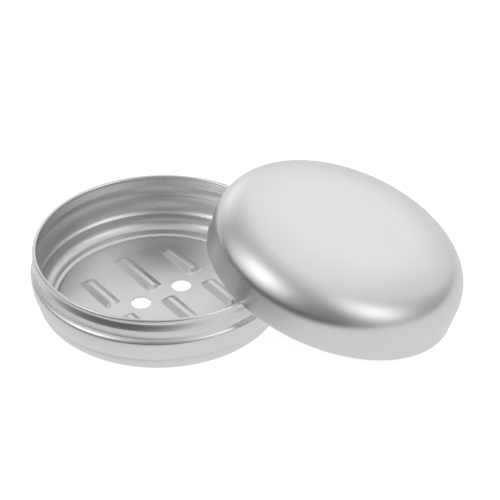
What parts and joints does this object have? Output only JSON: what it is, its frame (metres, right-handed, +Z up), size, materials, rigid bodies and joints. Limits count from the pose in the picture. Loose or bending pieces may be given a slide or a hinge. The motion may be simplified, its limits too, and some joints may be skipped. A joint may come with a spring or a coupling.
{
  "type": "travel soap box",
  "caption": "Round satin aluminium soap tin, opened: shallow bowl with pressed ribs and drain holes in its floor, and a push-on lid leaning on its rim.",
  "frame": {"origin": "on the bowl's axis, at the surface that its foot ring stands on", "axes": "+Z up along the bowl's axis, +X from the bowl towards the lid that leans on its rim"},
  "size_m": [0.1416, 0.085, 0.042],
  "materials": {
    "aluminium": "satin"
  },
  "bodies": {
    "base": {"base": "aluminium"},
    "lid": {"lid": "aluminium"}
  },
  "joints": [
    {"name": "lid_lift", "type": "slide", "parent": "base", "child": "lid", "axis": [0, 0, 1], "range_m": [0, 0.06]}
  ]
}
